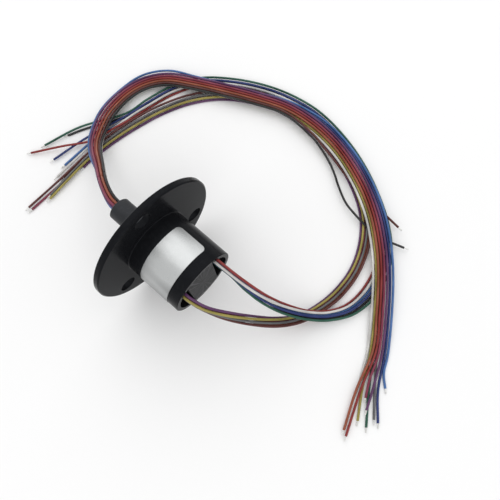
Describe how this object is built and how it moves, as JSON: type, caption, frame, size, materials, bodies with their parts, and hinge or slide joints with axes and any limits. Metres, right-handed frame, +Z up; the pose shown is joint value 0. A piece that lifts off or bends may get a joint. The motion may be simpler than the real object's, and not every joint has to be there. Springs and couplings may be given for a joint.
{
  "type": "slip ring",
  "caption": "Flanged capsule slip ring: a rotor tube turns in a moulded case and carries signals and power from loose rotor leads to loose stator leads.",
  "frame": {"origin": "centre of the flange's seat, the flat face that the barrel stands out of, on the spin axis", "axes": "+X along the spin axis from the rotor tube to the end cap, +Z up through the top mounting hole, with the axis level and the flange's rim and the loose leads on the surface below"},
  "size_m": [0.1544, 0.0997, 0.0446],
  "materials": {
    "black_case": "moulded, semi-gloss",
    "cap_plastic": "moulded, satin",
    "label_foil": "satin silver foil",
    "bearing_steel": "ground",
    "cage_brass": "pressed",
    "core_plastic": "moulded",
    "ring_gold": "gold plated, polished",
    "board_green": "solder mask",
    "epoxy": "cast resin",
    "potting_black": "cast resin",
    "tinned_copper": "tinned",
    "lead_light_blue": "extruded insulation, satin",
    "lead_blue": "extruded insulation, satin",
    "lead_grey": "extruded insulation, satin",
    "lead_green": "extruded insulation, satin",
    "lead_yellow": "extruded insulation, satin",
    "lead_white": "extruded insulation, satin",
    "lead_violet": "extruded insulation, satin",
    "lead_pink": "extruded insulation, satin",
    "lead_red": "extruded insulation, satin",
    "lead_orange": "extruded insulation, satin",
    "lead_brown": "extruded insulation, satin",
    "lead_black": "extruded insulation, satin"
  },
  "bodies": {
    "stator": {"housing": "black_case", "label": "label_foil", "end_cap": "cap_plastic", "front_outer_race": "bearing_steel", "rear_outer_race": "bearing_steel", "brush_board_right": "board_green", "brush_board_left": "board_green", "brush_wires_right": "ring_gold", "brush_wires_left": "ring_gold", "lead_anchor_right": "epoxy", "lead_anchor_left": "epoxy", "rotor_lead_light_blue": "lead_light_blue", "rotor_lead_blue": "lead_blue", "rotor_lead_grey": "lead_grey", "rotor_lead_green": "lead_green", "rotor_lead_yellow": "lead_yellow", "rotor_lead_white": "lead_white", "rotor_lead_violet": "lead_violet", "rotor_lead_pink": "lead_pink", "rotor_lead_red": "lead_red", "rotor_lead_orange": "lead_orange", "rotor_lead_brown": "lead_brown", "rotor_lead_black": "lead_black", "stator_lead_orange": "lead_orange", "stator_lead_violet": "lead_violet", "stator_lead_blue": "lead_blue", "stator_lead_red": "lead_red", "stator_lead_green": "lead_green", "stator_lead_light_blue": "lead_light_blue", "stator_lead_white": "lead_white", "stator_lead_black": "lead_black", "stator_lead_pink": "lead_pink", "stator_lead_yellow": "lead_yellow", "stator_lead_grey": "lead_grey", "stator_lead_brown": "lead_brown", "rotor_lead_tips": "tinned_copper", "stator_lead_tips": "tinned_copper"},
    "rotor": {"rotor_tube": "black_case", "thrust_washer": "bearing_steel", "rotor_core": "core_plastic", "potting": "potting_black", "front_inner_race": "bearing_steel", "rear_inner_race": "bearing_steel", "contact_ring_01": "ring_gold", "contact_ring_02": "ring_gold", "contact_ring_03": "ring_gold", "contact_ring_04": "ring_gold", "contact_ring_05": "ring_gold", "contact_ring_06": "ring_gold", "contact_ring_07": "ring_gold", "contact_ring_08": "ring_gold", "contact_ring_09": "ring_gold", "contact_ring_10": "ring_gold", "contact_ring_11": "ring_gold", "contact_ring_12": "ring_gold"},
    "front_ball_set": {"front_balls": "bearing_steel", "front_cage": "cage_brass"},
    "rear_ball_set": {"rear_balls": "bearing_steel", "rear_cage": "cage_brass"}
  },
  "joints": [
    {"name": "rotor_spin", "type": "hinge", "parent": "stator", "child": "rotor", "pos_m": [0, 0, 0], "axis": [1, 0, 0], "continuous": true},
    {"name": "front_ball_set_spin", "type": "hinge", "parent": "stator", "child": "front_ball_set", "pos_m": [0.00075, 0, 0], "axis": [1, 0, 0], "continuous": true},
    {"name": "rear_ball_set_spin", "type": "hinge", "parent": "stator", "child": "rear_ball_set", "pos_m": [0.0164, 0, 0], "axis": [1, 0, 0], "continuous": true}
  ],
  "couplings": [
    {"joint": "front_ball_set_spin", "follows": "rotor_spin", "ratio": 0.44},
    {"joint": "rear_ball_set_spin", "follows": "rotor_spin", "ratio": 0.431}
  ]
}
